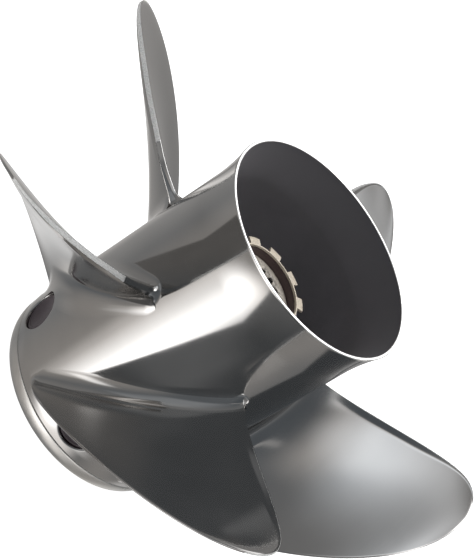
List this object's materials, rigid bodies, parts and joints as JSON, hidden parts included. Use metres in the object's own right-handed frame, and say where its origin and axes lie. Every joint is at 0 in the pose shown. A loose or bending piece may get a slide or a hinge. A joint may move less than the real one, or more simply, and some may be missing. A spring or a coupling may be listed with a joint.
{
  "type": "outboard boat propeller",
  "caption": "Right-handed boat propeller with skewed blades on a through-hub-exhaust barrel, a flared rear rim, vent plugs and a splined drive hub.",
  "frame": {"origin": "on the shaft axis, level with the flat front face of the hub", "axes": "+Z along the shaft axis towards the open rear end; +X and +Y square to it, with the root of the first blade 77.3 degrees from +X towards -Y"},
  "size_m": [0.3228, 0.3139, 0.1718],
  "materials": {
    "blade_steel": "polished",
    "barrel_steel": "polished",
    "flare_steel": "polished",
    "ring_steel": "machined",
    "dark_casting": "dark as-cast",
    "plug_plastic": "satin",
    "cushion_plastic": "satin",
    "sleeve_steel": "machined",
    "ring_bronze": "sintered"
  },
  "bodies": {
    "root": {"front_ring": "ring_steel", "hub_barrel": "barrel_steel", "diffuser_ring": "flare_steel", "blade_1": "blade_steel", "blade_2": "blade_steel", "blade_3": "blade_steel", "blade_4": "blade_steel", "blade_5": "blade_steel", "vent_plug_1": "plug_plastic", "vent_plug_2": "plug_plastic", "vent_plug_3": "plug_plastic", "vent_plug_4": "plug_plastic", "vent_plug_5": "plug_plastic", "inner_hub": "dark_casting", "web_1": "dark_casting", "web_2": "dark_casting", "web_3": "dark_casting", "web_4": "dark_casting", "web_5": "dark_casting", "cushion_sleeve": "cushion_plastic", "splined_sleeve": "sleeve_steel", "castellated_ring": "ring_bronze"}
  },
  "joints": []
}
